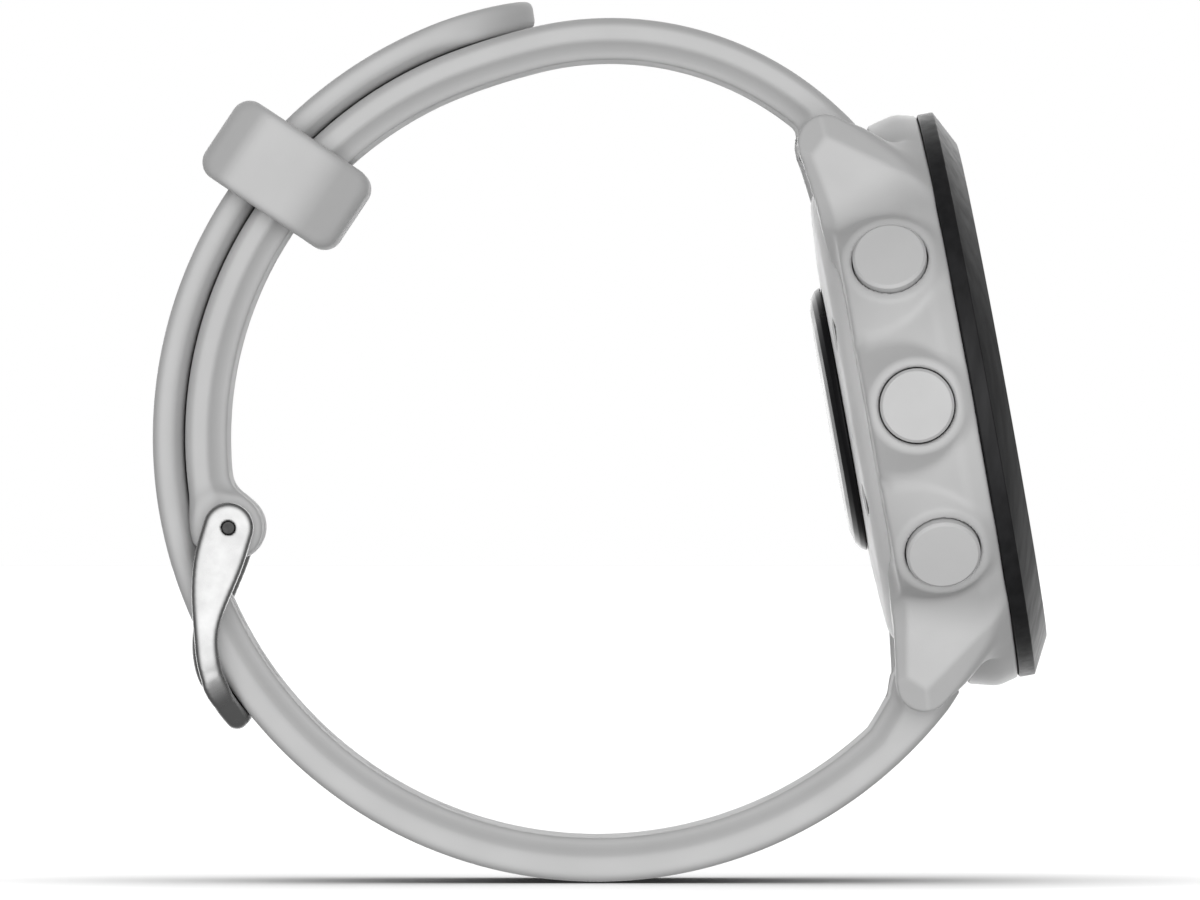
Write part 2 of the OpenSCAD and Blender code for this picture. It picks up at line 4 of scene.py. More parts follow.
import bmesh
import bpy
import numpy as np
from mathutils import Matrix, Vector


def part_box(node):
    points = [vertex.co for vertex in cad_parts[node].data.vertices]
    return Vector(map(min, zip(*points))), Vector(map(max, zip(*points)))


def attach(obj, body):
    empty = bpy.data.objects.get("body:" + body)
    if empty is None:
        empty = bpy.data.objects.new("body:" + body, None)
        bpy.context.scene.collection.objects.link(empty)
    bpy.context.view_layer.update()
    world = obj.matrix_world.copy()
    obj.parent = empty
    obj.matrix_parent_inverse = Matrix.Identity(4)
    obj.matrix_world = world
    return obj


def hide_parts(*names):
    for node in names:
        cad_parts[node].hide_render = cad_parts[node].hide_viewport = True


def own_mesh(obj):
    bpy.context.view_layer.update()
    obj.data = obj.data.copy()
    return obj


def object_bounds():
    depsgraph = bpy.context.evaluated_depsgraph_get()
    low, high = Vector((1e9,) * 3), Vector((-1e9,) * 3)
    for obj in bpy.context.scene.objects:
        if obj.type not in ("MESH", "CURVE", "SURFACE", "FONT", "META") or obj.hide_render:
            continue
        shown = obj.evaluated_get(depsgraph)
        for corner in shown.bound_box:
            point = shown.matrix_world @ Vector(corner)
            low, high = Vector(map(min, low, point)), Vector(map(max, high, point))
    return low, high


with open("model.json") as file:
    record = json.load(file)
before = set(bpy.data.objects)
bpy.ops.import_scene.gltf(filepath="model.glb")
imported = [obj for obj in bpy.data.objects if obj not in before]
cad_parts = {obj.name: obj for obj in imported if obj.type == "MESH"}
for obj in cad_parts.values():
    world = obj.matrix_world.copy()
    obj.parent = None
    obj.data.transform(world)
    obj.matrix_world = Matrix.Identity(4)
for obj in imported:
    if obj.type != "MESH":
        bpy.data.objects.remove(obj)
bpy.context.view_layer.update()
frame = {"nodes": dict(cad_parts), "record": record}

RECORD = frame["record"]
MOUNTS = {m["name"]: m for m in RECORD["mounts"]}
JOINTS = {j["name"]: j for j in RECORD["behaviour"]["joints"]}
MM = 0.001

# ---------- Places taken from the frame, in millimetres ----------

# The case frame: x to 3 o'clock, y to 12 o'clock, z out through the display
FACE_Z = 6.65
FACE = MOUNTS["display_face"]
NORMAL = np.array(FACE["axis"])
TO_12 = np.array([-NORMAL[2], 0.0, NORMAL[0]])
TO_3 = np.array([0.0, 1.0, 0.0])
CASE_ORIGIN = np.array(FACE["pos_m"]) / MM - FACE_Z * NORMAL

# The strap loop, the buckle's pin as an [X, Z] place, and the keeper's box
STRAP_LOW, STRAP_HIGH = (np.array(c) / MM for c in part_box("strap_long"))
LOOP_R = -STRAP_LOW[2]
HALF_STRAP = STRAP_HIGH[1]
PIN = np.array(JOINTS["buckle_swing"]["pos_m"])[[0, 2]] / MM
KEEPER_LOW, KEEPER_HIGH = (np.array(c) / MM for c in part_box("keeper_loop"))


def polar(r, degrees):
    """[X, Z] place at a radius and an angle about the middle of the loop."""
    return np.array([r * math.cos(math.radians(degrees)), r * math.sin(math.radians(degrees))])


def case_place(x, y, z):
    """Row position, in millimetres, of a place given in the case frame."""
    return CASE_ORIGIN + x * TO_3 + y * TO_12 + z * NORMAL


# ---------- Camera ----------

# A long lens, level with the middle of the watch and square to its three-button side
CAMERA_MIDDLE = (0.22, -0.92)
CAMERA_AWAY = 1.5
PICTURE_WIDTH = 88.24


def add_camera():
    """Camera that takes in PICTURE_WIDTH millimetres of the watch's middle plane."""
    data = bpy.data.cameras.new("camera")
    data.sensor_width = 36
    data.lens = data.sensor_width * CAMERA_AWAY / (PICTURE_WIDTH * MM)
    data.clip_start, data.clip_end = 0.05, 50
    camera = bpy.data.objects.new("camera", data)
    camera.location = (CAMERA_MIDDLE[0] * MM, -CAMERA_AWAY, CAMERA_MIDDLE[1] * MM)
    camera.rotation_euler = (math.pi / 2, 0, 0)
    bpy.context.collection.objects.link(camera)
    bpy.context.scene.camera = camera


# ---------- Signed distance shapes: below zero is inside ----------

def smooth_max(a, b, k):
    h = np.maximum(k - np.abs(a - b), 0.0) / k
    return np.maximum(a, b) + h * h * k * 0.25


def smooth_min(a, b, k):
    return -smooth_max(-a, -b, k)


def convex(u, v, corners, k):
    """Convex outline with rounded corners, which are listed anticlockwise."""
    d = None
    for (au, av), (bu, bv) in zip(corners, corners[1:] + corners[:1]):
        length = math.hypot(bu - au, bv - av)
        side = ((u - au) * (bv - av) - (v - av) * (bu - au)) / length
        d = side if d is None else smooth_max(d, side, k)
    return d


def rounded_box(u, v, half_u, half_v, r):
    """Rectangle centred on zero with corners of radius r."""
    du = np.abs(u) - half_u + r
    dv = np.abs(v) - half_v + r
    outside = np.hypot(np.maximum(du, 0.0), np.maximum(dv, 0.0))
    return outside + np.minimum(np.maximum(du, dv), 0.0) - r


def strip(u, v, path, half):
    """Bent strip along a list of points, with half its width at each point."""
    d = None
    for (a, b, wa, wb) in zip(path[:-1], path[1:], half[:-1], half[1:]):
        run = b - a
        t = np.clip(((u - a[0]) * run[0] + (v - a[1]) * run[1]) / (run @ run), 0.0, 1.0)
        away = np.hypot(u - a[0] - t * run[0], v - a[1] - t * run[1]) - wa - t * (wb - wa)
        d = away if d is None else np.minimum(d, away)
    return d


def bezier(corners, t):
    a, b, c, d = corners
    s = 1 - t
    return s ** 3 * a + 3 * s * s * t * b + 3 * s * t * t * c + t ** 3 * d


# ---------- Meshes ----------

# How often the points of a surface are moved onto its shape
SETTLE_STEPS = 3
CUBE = np.array([(i, j, k) for i in (0, 1) for j in (0, 1) for k in (0, 1)])
CUBE_EDGES = [(a, b) for a in range(8) for b in range(a + 1, 8) if bin(a ^ b).count("1") == 1]


def slope(shape, points, h=0.02):
    """Value and gradient of a shape at some points."""
    value = shape(*points.T)
    gradient = np.empty_like(points)
    for axis in range(3):
        step = np.zeros(3)
        step[axis] = h
        gradient[:, axis] = (shape(*(points + step).T) - shape(*(points - step).T)) / (2 * h)
    return value, gradient


def skin(shape, low, high, step):
    """Vertices and quads of the surface of a shape, one vertex in each cell it passes through."""
    low = np.array(low, float)
    lines = [np.arange(a, b + step, step) for a, b in zip(low, high)]
    field = np.asarray(shape(*np.meshgrid(*lines, indexing="ij", sparse=True)))
    inside = field < 0
    size = np.array(field.shape) - 1
    total = sum(inside[i:size[0] + i, j:size[1] + j, k:size[2] + k].astype(np.int8) for i, j, k in CUBE)
    cells = np.argwhere((total > 0) & (total < 8))
    index = np.full(total.shape, -1, np.int32)
    index[tuple(cells.T)] = np.arange(len(cells))
    value = np.stack([field[tuple((cells + c).T)] for c in CUBE], 1)
    place = np.zeros((len(cells), 3))
    hits = np.zeros(len(cells))
    for a, b in CUBE_EDGES:
        crossed = (value[:, a] < 0) != (value[:, b] < 0)
        t = value[crossed, a] / (value[crossed, a] - value[crossed, b])
        place[crossed] += CUBE[a] + t[:, None] * (CUBE[b] - CUBE[a])
        hits[crossed] += 1
    points = low + step * (cells + place / hits[:, None])
    for _ in range(SETTLE_STEPS):
        away, gradient = slope(shape, points)
        steep = np.maximum((gradient ** 2).sum(1), 0.25)
        move = gradient * (away / steep)[:, None]
        reach = np.maximum(np.linalg.norm(move, axis=1) / (0.5 * step), 1.0)
        points -= move / reach[:, None]
    quads = []
    for d in range(3):
        e, f = np.eye(3, dtype=int)[(d + 1) % 3], np.eye(3, dtype=int)[(d + 2) % 3]
        here = inside.take(range(size[d]), axis=d)
        there = inside.take(range(1, size[d] + 1), axis=d)
        p = np.argwhere(here != there)
        room = ((p @ e > 0) & (p @ e < size @ e) & (p @ f > 0) & (p @ f < size @ f))
        p = p[room]
        ring = np.stack([index[tuple(q.T)] for q in (p, p - e, p - e - f, p - f)], 1)
        outward = here[tuple(p.T)]
        ring[~outward] = ring[~outward][:, ::-1]
        quads.append(ring)
    return points, np.concatenate(quads)


def add_mesh(name, points, faces):
    """Smooth-shaded object from points in metres and faces that all have the same number of corners."""
    faces = np.asarray(faces, np.int32)
    mesh = bpy.data.meshes.new(name)
    mesh.vertices.add(len(points))
    mesh.vertices.foreach_set("co", np.asarray(points, np.float32).ravel())
    mesh.loops.add(faces.size)
    mesh.loops.foreach_set("vertex_index", faces.ravel())
    mesh.polygons.add(len(faces))
    mesh.polygons.foreach_set("loop_start", np.arange(0, faces.size, faces.shape[1], dtype=np.int32))
    mesh.update(calc_edges=True)
    mesh.validate()
    mesh.shade_smooth()
    obj = bpy.data.objects.new(name, mesh)
    bpy.context.collection.objects.link(obj)
    return obj


def case_points(points):
    """Row points in metres from points in the case frame in millimetres."""
    return (CASE_ORIGIN + points @ np.stack([TO_3, TO_12, NORMAL])) * MM


def fillet(corners, radius, steps=5):
    """Closed outline with each corner turned into an arc of up to the given radius."""
    corners = [np.array(c, float) for c in corners]
    outline = []
    for i, here in enumerate(corners):
        before, after = corners[i - 1], corners[(i + 1) % len(corners)]
        a, b = before - here, after - here
        la, lb = np.linalg.norm(a), np.linalg.norm(b)
        a, b = a / la, b / lb
        angle = math.acos(np.clip(a @ b, -1, 1))
        cut = min(radius / math.tan(angle / 2), 0.45 * la, 0.45 * lb)
        if here[0] < 1e-6 or cut < 1e-4:
            outline.append(here)
            continue
        first, last = here + a * cut, here + b * cut
        for t in np.linspace(0, 1, steps + 1):
            outline.append((1 - t) ** 2 * first + 2 * t * (1 - t) * here + t * t * last)
    return np.array(outline)


def lathe(name, corners, radius, segments=192, to_row=case_points):
    """Turned piece: a closed [r, z] outline with rounded corners, round a z axis that to_row places in
    the row frame. Without to_row it is the axis of the case."""
    outline = fillet(corners, radius)
    count = len(outline)
    turn = np.linspace(0, 2 * math.pi, segments, endpoint=False)
    points = np.stack([
        np.outer(np.cos(turn), outline[:, 0]).ravel(),
        np.outer(np.sin(turn), outline[:, 0]).ravel(),
        np.tile(outline[:, 1], segments)], 1)
    i, j = np.meshgrid(np.arange(segments), np.arange(count), indexing="ij")
    ni, nj = (i + 1) % segments, (j + 1) % count
    quads = np.stack([i * count + j, ni * count + j, ni * count + nj, i * count + nj], -1).reshape(-1, 4)
    obj = add_mesh(name, to_row(points), quads)
    close_axis(obj)
    return obj


def close_axis(obj):
    """Merges the points that a turned outline leaves on its axis."""
    work = bmesh.new()
    work.from_mesh(obj.data)
    bmesh.ops.remove_doubles(work, verts=work.verts, dist=1e-6)
    bmesh.ops.dissolve_degenerate(work, edges=work.edges, dist=1e-7)
    bmesh.ops.recalc_face_normals(work, faces=work.faces)
    work.to_mesh(obj.data)
    work.free()
    obj.data.shade_smooth()


# ---------- Materials ----------

def blended(nodes, links, factor, dark, light):
    """Colour between two others by a factor."""
    mix = nodes.new("ShaderNodeMix")
    mix.data_type = "RGBA"
    mix.inputs["A"].default_value = (*dark, 1)
    mix.inputs["B"].default_value = (*light, 1)
    links.new(factor, mix.inputs["Factor"])
    return mix.outputs["Result"]


def spread(nodes, links, factor, low, high):
    """Noise, which keeps near its middle, spread between two values."""
    to = nodes.new("ShaderNodeMapRange")
    to.inputs["From Min"].default_value = 0.3
    to.inputs["From Max"].default_value = 0.7
    to.inputs["To Min"].default_value = low
    to.inputs["To Max"].default_value = high
    links.new(factor, to.inputs["Value"])
    return to.outputs["Result"]


def make_look(name, colour, roughness, metallic=0.0, mottle=0.04, patch=2.5, grain=0.12, relief=0.004,
              stretch=(1, 1, 1), rough_change=0.05, coat=0.0, transmission=0.0, shine=0.5):
    """Procedural material. patch and grain are the sizes, in millimetres, of its soft mottling and of
    its surface relief, whose height is relief. stretch draws both out along the row's axes."""
    material = bpy.data.materials.new(name)
    material.use_nodes = True
    nodes, links = material.node_tree.nodes, material.node_tree.links
    shader = nodes["Principled BSDF"]
    shader.inputs["Metallic"].default_value = metallic
    shader.inputs["Specular IOR Level"].default_value = shine
    shader.inputs["Coat Weight"].default_value = coat
    shader.inputs["Coat Roughness"].default_value = 0.08
    shader.inputs["Transmission Weight"].default_value = transmission
    shader.inputs["IOR"].default_value = 1.47
    place = nodes.new("ShaderNodeTexCoord")
    mapping = nodes.new("ShaderNodeMapping")
    mapping.inputs["Scale"].default_value = [1 / s for s in stretch]
    links.new(place.outputs["Object"], mapping.inputs["Vector"])
    noises = []
    for size, detail in ((patch, 3), (grain, 2)):
        noise = nodes.new("ShaderNodeTexNoise")
        noise.inputs["Scale"].default_value = 1 / (size * MM)
        noise.inputs["Detail"].default_value = detail
        links.new(mapping.outputs["Vector"], noise.inputs["Vector"])
        noises.append(noise.outputs["Fac"])
    dark, light = ([min(c * (1 + side * mottle), 1) for c in colour] for side in (-1, 1))
    links.new(blended(nodes, links, spread(nodes, links, noises[0], 0, 1), dark, light),
              shader.inputs["Base Color"])
    links.new(spread(nodes, links, noises[0], roughness + rough_change, max(roughness - rough_change, 0)),
              shader.inputs["Roughness"])
    bump = nodes.new("ShaderNodeBump")
    bump.inputs["Strength"].default_value = 1.0
    bump.inputs["Distance"].default_value = relief * MM
    links.new(noises[1], bump.inputs["Height"])
    links.new(bump.outputs["Normal"], shader.inputs["Normal"])
    return material


LOOKS = {
    "case_polymer": make_look("case_polymer", (0.57, 0.57, 0.57), 0.45, mottle=0.02, patch=4),
    "button_polymer": make_look("button_polymer", (0.61, 0.61, 0.61), 0.5, mottle=0.02, patch=4),
    "back_polymer": make_look("back_polymer", (0.76, 0.76, 0.76), 0.45, mottle=0.02, patch=4),
    "strap_silicone": make_look("strap_silicone", (0.59, 0.59, 0.59), 0.6, mottle=0.02, patch=5,
                                grain=0.08, relief=0.003),
    "bezel_polymer": make_look("bezel_polymer", (0.017, 0.017, 0.018), 0.42, mottle=0.3, patch=0.8,
                               grain=0.1, stretch=(1, 1, 6), shine=0.18),
    "display_glass": make_look("display_glass", (0.9, 0.91, 0.92), 0.03, mottle=0.01, rough_change=0.01,
                               relief=0.00005, grain=3, transmission=1.0),
    "adhesive": make_look("adhesive", (0.03, 0.03, 0.03), 0.6),
    "display": make_look("display", (0.055, 0.06, 0.062), 0.25, mottle=0.1, patch=0.4, grain=0.09,
                         relief=0.001),
    "display_ink": make_look("display_ink", (0.72, 0.76, 0.78), 0.4, mottle=0.02),
    "inner_plastic": make_look("inner_plastic", (0.06, 0.06, 0.065), 0.6, relief=0.006),
    "flex_film": make_look("flex_film", (0.5, 0.19, 0.03), 0.3, mottle=0.12, patch=1.2),
    "gold": make_look("gold", (0.83, 0.58, 0.24), 0.28, metallic=1, mottle=0.05),
    "circuit_board": make_look("circuit_board", (0.015, 0.09, 0.045), 0.35, mottle=0.35, patch=0.7,
                               relief=0.02, grain=0.5, coat=0.3),
    "tin_shield": make_look("tin_shield", (0.6, 0.61, 0.62), 0.35, metallic=1, patch=1),
    "chip_resin": make_look("chip_resin", (0.02, 0.02, 0.021), 0.55, relief=0.006),
    "battery_foil": make_look("battery_foil", (0.5, 0.52, 0.55), 0.4, metallic=0.8, patch=3, relief=0.03,
                              grain=1.5),
    "steel": make_look("steel", (0.36, 0.36, 0.36), 0.26, metallic=1, mottle=0.03, patch=1.5, grain=0.06,
                       relief=0.0003, stretch=(1, 12, 1)),
    "lever_steel": make_look("lever_steel", (0.3, 0.3, 0.3), 0.5, metallic=0.4, mottle=0.08, patch=0.4),
    # Near-black metal for the back screws and the buckle pin's ends: painted shade, drawn as dark as the
    # shade in their holes
    "painted_shade_metal": make_look("painted_shade_metal", (0.06, 0.06, 0.06), 0.5, metallic=0.6, mottle=0.1, patch=0.3),
    "spring_steel": make_look("spring_steel", (0.45, 0.45, 0.46), 0.3, metallic=1, patch=0.4),
    "tungsten": make_look("tungsten", (0.25, 0.25, 0.26), 0.4, metallic=1, patch=0.5),
    "seal_rubber": make_look("seal_rubber", (0.02, 0.02, 0.02), 0.7),
    "sensor_gloss": make_look("sensor_gloss", (0.008, 0.008, 0.009), 0.3, mottle=0.2, relief=0.0004,
                              grain=0.6, shine=0.15),
    "led_resin": make_look("led_resin", (0.25, 0.6, 0.3), 0.15, coat=0.5),
}
SLOT_OF = {part["node"]: part["material_slot"] for part in RECORD["subparts"]}


def finish_piece(obj, body, node, look=None):
    """Gives a piece its material and its body and, unless node is None, hides the CAD node that it stands
    for.
    """
    name = SLOT_OF[node] if node else "display"
    obj.data.materials.append(LOOKS[look or name])
    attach(obj, body)
    if node:
        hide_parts(node)


def dress_frame():
    """Materials for the CAD nodes that stay in the picture."""
    for name, obj in frame["nodes"].items():
        obj.data.materials.clear()
        obj.data.materials.append(LOOKS["lever_steel" if name.endswith("_release") else SLOT_OF[name]])


# ---------- Case ----------

BEZEL_R = 21.0
CASE_TOP = 4.1
BACK_EDGE = -3.5
BAR_Y, BAR_Z = 20.1, -3.0
LUG_IN, LUG_OUT = 10.3, 14.0
BUTTON_ANGLES = {"light": 150, "up": 180, "down": 210, "start": 30, "back": -30}
RECESS_R, RECESS_FLOOR = 2.79, 19.3
BOSS_R, BOSS_IN, BOSS_OUT = 3.45, 15, 21.6
SCREW_RING, SCREW_ANGLES, SCREW_BORE = 14.6, (25, 155, 205, 335), 0.5
POST_R, POST_MIDDLE, POST_HALF = 1.6, -2.6, 0.9
# Room for the strap between two lugs
STRAP_ROOM_R, STRAP_ROOM_Y, STRAP_ROOM_TOP = 2.25, 19, 0.35
# Holes in the lugs for the spring bars' tips, and how far out they reach
TIP_BORE, TIP_REACH = 0.46, 12.1
# Radius and inner end of the steps in the bore of a button's stem
STEM_BORES = [(1.25, 18.6), (0.82, 16)]
# The case's hollows: the main one, with flats at 12 and 6 o'clock, the wider one above it, the
# narrower one below it, the seat of the back cover and the groove under the bezel
HOLLOW_R, HOLLOW_FLAT, HOLLOW_FLOOR = 18, 16.9, -1.7
UPPER_FLOOR = 0.4
LOWER_R, LOWER_TOP = 15.9, -1.6
SEAT_R = 17.45
GROOVE_R, GROOVE_HALF, GROOVE_FLOOR = 19.3, 0.45, 3.35

CASE_BOTTOM, TOP_R, TOP_SLOPE = -3.6, 20.95, 0.75
WALL = [(0, CASE_BOTTOM), (18.2, CASE_BOTTOM), (19.4, -3.4), (19.95, -2.9), (21.36, 2.5),
        (TOP_R, CASE_TOP), (0, CASE_TOP)]
LUG = [(9, -3.6), (19.6, -4.95), (22.0, -2.7), (20.8, -0.2), (18.6, 2.3), (15.2, 3.9), (9, 3.9)]
LUG_TIP_R = 2
# Chamfers round a lug's outer facet: a point on the facet's edge, the way out, width and depth
LUG_CHAMFERS = [
    ((20.45, -2.9), (0.815, 0.58), 1.84, 1.25),
    ((20.45, -2.9), (0.722, -0.692), 1.82, 1.2),
    ((19.3, -4.1), (-0.177, -0.984), 0.83, 0.6),
]


def button_axes(x, y, angle):
    """Distance out along a button's axis, and sideways from it."""
    c, s = math.cos(math.radians(angle)), math.sin(math.radians(angle))
    return x * c + y * s, y * c - x * s


def lug_shape(x, y, z):
    """All four lugs, since each is a mirror image of the others."""
    ax, ay = np.abs(x), np.abs(y)
    outline = smooth_min(convex(ay, z, LUG, 0.3), np.hypot(ay - BAR_Y, z - BAR_Z) - LUG_TIP_R, 0.3)
    d = smooth_max(outline, ax - LUG_OUT, 0.25)
    for (py, pz), (ny, nz), width, depth in LUG_CHAMFERS:
        away = (ay - py) * ny + (z - pz) * nz
        d = smooth_max(d, (away * depth + (ax - LUG_OUT) * width) / math.hypot(width, depth), 0.12)
    return smooth_max(d, LUG_IN - ax, 0.3)


def case_shape(x, y, z):
    """Middle case: its wall with button bosses and lugs, hollowed, with screw posts and button bores."""
    r = np.hypot(x, y)
    ax, ay = np.abs(x), np.abs(y)
    d = convex(r, z, WALL, 0.25)
    for angle in BUTTON_ANGLES.values():
        out, side = button_axes(x, y, angle)
        from_axis = np.hypot(side, z)
        steep = 0.8 + 0.4 * side ** 2 / (from_axis ** 2 + 0.01)
        cone = ((from_axis - BOSS_R) * steep + out - BOSS_OUT) / np.sqrt(1 + steep ** 2)
        boss = smooth_max(out - BOSS_OUT, cone, 0.2)
        boss = smooth_max(np.maximum(boss, BOSS_IN - out), np.maximum(z - CASE_TOP, CASE_BOTTOM - z), 0.3)
        d = smooth_min(d, boss, 0.3)
    d = smooth_min(d, lug_shape(x, y, z), 1.5)
    shoulder = (r - TOP_R - (CASE_TOP - z) * TOP_SLOPE) / math.hypot(1, TOP_SLOPE)
    d = smooth_max(smooth_max(d, shoulder, 0.2), z - CASE_TOP, 0.12)
    gap = np.maximum(ax - LUG_IN, np.minimum(
        np.hypot(ay - BAR_Y, z - BAR_Z) - STRAP_ROOM_R,
        np.maximum(STRAP_ROOM_Y - ay, z - STRAP_ROOM_TOP)))
    d = smooth_max(d, -gap, 0.25)
    cavity = np.maximum(np.maximum(r - HOLLOW_R, ay - HOLLOW_FLAT), HOLLOW_FLOOR - z)
    cavity = np.minimum(cavity, np.maximum(r - HOLLOW_R, UPPER_FLOOR - z))
    cavity = np.minimum(cavity, np.maximum(r - LOWER_R, z - LOWER_TOP))
    cavity = np.minimum(cavity, np.maximum(r - SEAT_R, z - BACK_EDGE))
    cavity = np.minimum(cavity, np.maximum(np.abs(r - GROOVE_R) - GROOVE_HALF, GROOVE_FLOOR - z))
    d = smooth_max(d, -cavity, 0.12)
    for angle in SCREW_ANGLES:
        along, side = button_axes(x, y, angle)
        from_screw = np.hypot(along - SCREW_RING, side)
        post = np.maximum(from_screw - POST_R, np.abs(z - POST_MIDDLE) - POST_HALF)
        d = np.maximum(np.minimum(d, post), SCREW_BORE - from_screw)
    for angle in BUTTON_ANGLES.values():
        out, side = button_axes(x, y, angle)
        from_axis = np.hypot(side, z)
        bore = np.maximum(from_axis - RECESS_R, RECESS_FLOOR - out)
        for radius, inner_end in STEM_BORES:
            bore = np.minimum(bore, np.maximum(from_axis - radius, inner_end - out))
        d = smooth_max(d, -bore, 0.12)
    return np.maximum(d, np.minimum(TIP_REACH - ax, TIP_BORE - np.hypot(ay - BAR_Y, z - BAR_Z)))


def build_case():
    points, quads = skin(case_shape, (-22.8, -23.0, -5.3), (22.8, 23.0, 4.5), 0.2)
    shell = add_mesh("case_shell", case_points(points), quads)
    finish_piece(shell, "case", "case_body")

    ring = lathe("bezel_ring", [
        (17.2, 4.45), (17.2, 5.2), (18.2, 5.2), (18.2, 6.6), (18.4, FACE_Z), (BEZEL_R, 5.3),
        (BEZEL_R, 4.22), (20.9, 4.12), (19.7, 4.12), (19.7, 3.4), (18.9, 3.4), (18.9, 4.12), (18, 4.12)
    ], 0.12)
    finish_piece(ring, "case", "bezel")

    glass = lathe("cover_glass", [
        (0, 5.45), (18.15, 5.45), (18.15, 6.5), (18.0, FACE_Z), (0, FACE_Z)], 0.06)
    finish_piece(glass, "case", "lens")

    points, quads = skin(back_shape, (-17.8, -17.8, -5.5), (17.8, 17.8, -3.2), 0.2)
    back = add_mesh("back_cover", case_points(points), quads)
    finish_piece(back, "case", "case_back", "back_polymer")

    window = lathe("sensor_dome", [
        (0, -6.25), (6.5, -6.25), (8.2, -6.17), (9.1, -5.95), (9.6, -5.6), (9.85, -5.15),
        (8.55, -5.15), (8.55, -3.6), (7.6, -3.6), (7.6, -5.4), (0, -5.4)], 0.3)
    finish_piece(window, "case", "sensor_window")

    screws = []
    for angle in SCREW_ANGLES:
        middle = SCREW_RING * np.array([math.cos(math.radians(angle)), math.sin(math.radians(angle)), 0])
        screws.append(lathe("screw", [
            (0, -1.9), (0.48, -1.9), (0.48, -4.15), (1.07, -4.15), (1.07, -4.7), (0.95, -4.78),
            (0.42, -4.78), (0.42, -4.45), (0, -4.45)], 0.05, 48,
            lambda local, middle=middle: case_points(local + middle)))
    # The screws take the near-black look: painted shade in their counterbores
    finish_piece(joined(screws, "back_screws"), "case", "case_back_screws", "painted_shade_metal")


BACK_OUTLINE = [(0, -5.1), (11.5, -5.1), (13.5, -4.97), (15.8, -4.8), (16.9, -4.25), (17.4, CASE_BOTTOM),
                (17.4, BACK_EDGE), (0, BACK_EDGE)]
BACK_HOLE_R = 8.6
SCREW_SHAFT_HOLE, SCREW_HEAD_HOLE, SCREW_HEAD_SEAT = 0.65, 1.13, -4.1
# Middle of the four contact holes, half their pitch, and their radius
CONTACT_Y, CONTACT_HALF_PITCH, CONTACT_HOLE = -12.6, 0.95, 0.55


def back_shape(x, y, z):
    """Domed back cover with its counterbored screws and its four contact holes."""
    r = np.hypot(x, y)
    d = smooth_max(convex(r, z, BACK_OUTLINE, 0.2), BACK_HOLE_R - r, 0.2)
    for angle in SCREW_ANGLES:
        along, side = button_axes(x, y, angle)
        from_screw = np.hypot(along - SCREW_RING, side)
        head_hole = np.maximum(from_screw - SCREW_HEAD_HOLE, z - SCREW_HEAD_SEAT)
        hole = np.minimum(from_screw - SCREW_SHAFT_HOLE, head_hole)
        d = smooth_max(d, -hole, 0.12)
    away_x = np.abs(x) - CONTACT_HALF_PITCH
    away_y = np.abs(y - CONTACT_Y) - CONTACT_HALF_PITCH
    return smooth_max(d, CONTACT_HOLE - np.hypot(away_x, away_y), 0.12)


def build_buttons():
    """Each cap turned round its own axis, with the stem that works the switch."""
    for name, angle in BUTTON_ANGLES.items():
        c, s = math.cos(math.radians(angle)), math.sin(math.radians(angle))
        turn = np.array([[0, 0, -1], [-s, c, 0], [c, s, 0]])
        cap = lathe("cap_" + name, [
            (0, 17.3), (0.75, 17.3), (0.75, 17.46), (0.5, 17.46), (0.5, 17.74), (0.75, 17.74), (0.75, 21.1),
            (2.25, 21.1), (2.25, 19.85), (2.7, 19.85), (2.7, 22.0), (2.5, 22.2), (0, 22.2)], 0.08, 96,
            lambda local, turn=turn: case_points(local @ turn))
        finish_piece(cap, "button_" + name, "button_" + name, "button_polymer")


# ---------- Strap ----------

BAND_T = 3.1
UNDER_R, UNDER_T = 30.1, 3.05
OUTER_R = LOOP_R + 0.08
TIP_ANGLE, LOWER_END, UNDER_END = 98.5, 325.0, 194.0
BRIDGE_ANGLE, BRIDGE_R, SHOULDER_ANGLE, SHOULDER_R = 110.8, 50.0, 103.7, 24.4
# Adjustment holes: the angle of the one in use, their step, and how many come before and after it
USED_HOLE, HOLE_STEP, HOLES_BEFORE, HOLES_AFTER = 203.0, 11.5, 8, 4
HOLE_LENGTH, HOLE_WIDTH, USED_LENGTH, USED_WIDTH = 3.2, 2.2, 5.6, 2.4
EYE_R, EYE_BORE, TONGUE_SLOT = 2.45, 0.8, 2.3
FLANK_LOW, FLANK_HIGH, LIP = 0.3, 1.45, 1.45
TAIL_LIP, TAIL_BEVEL = 0.95, 1.8
CHAMFER_H, CHAMFER_W = 0.5, 0.75
# The ends at the lugs: the knuckle round a spring bar, the bar's bore and the room for its lever
KNUCKLE_R, BAR_BORE = 1.95, 0.93
LEVER_MIDDLE_Y, LEVER_MIDDLE_Z = 5.45, -4.3
LEVER_HALF_Y, LEVER_HALF_WIDTH, LEVER_HALF_Z = 1.95, 1, 1.3
# The tail's inner radius where it leaves the band, how fast it rises past the bridge's angle, and the
# angles between which the tail joins the band
TAIL_FLOOR, TAIL_RISE, TAIL_ROOT = 30.2, 0.005, (197, 203)
TAIL_BEFORE = 150
# Inner and outer radius of the long half at the lower lug, by angle
LOWER_FLOOR = ((313, LOOP_R - BAND_T), (318.5, 28.6), (321, 28.0))
LOWER_TOP_R = ((322, OUTER_R), (LOWER_END, OUTER_R - 0.1), (329, 30.6))
# Where the short half starts at the upper lug, as an angle about the middle of its shoulder
UPPER_START = 41.3
BRIDGE = polar(UNDER_R - BRIDGE_R, BRIDGE_ANGLE)
SHOULDER = BRIDGE + polar(BRIDGE_R - SHOULDER_R, SHOULDER_ANGLE)


def loop_angle(x, z):
    return np.degrees(np.arctan2(z, x)) % 360


def case_yz(x, z):
    """Case-frame y and z of [X, Z] places."""
    dx, dz = x - CASE_ORIGIN[0], z - CASE_ORIGIN[2]
    return dx * TO_12[0] + dz * TO_12[2], dx * NORMAL[0] + dz * NORMAL[2]


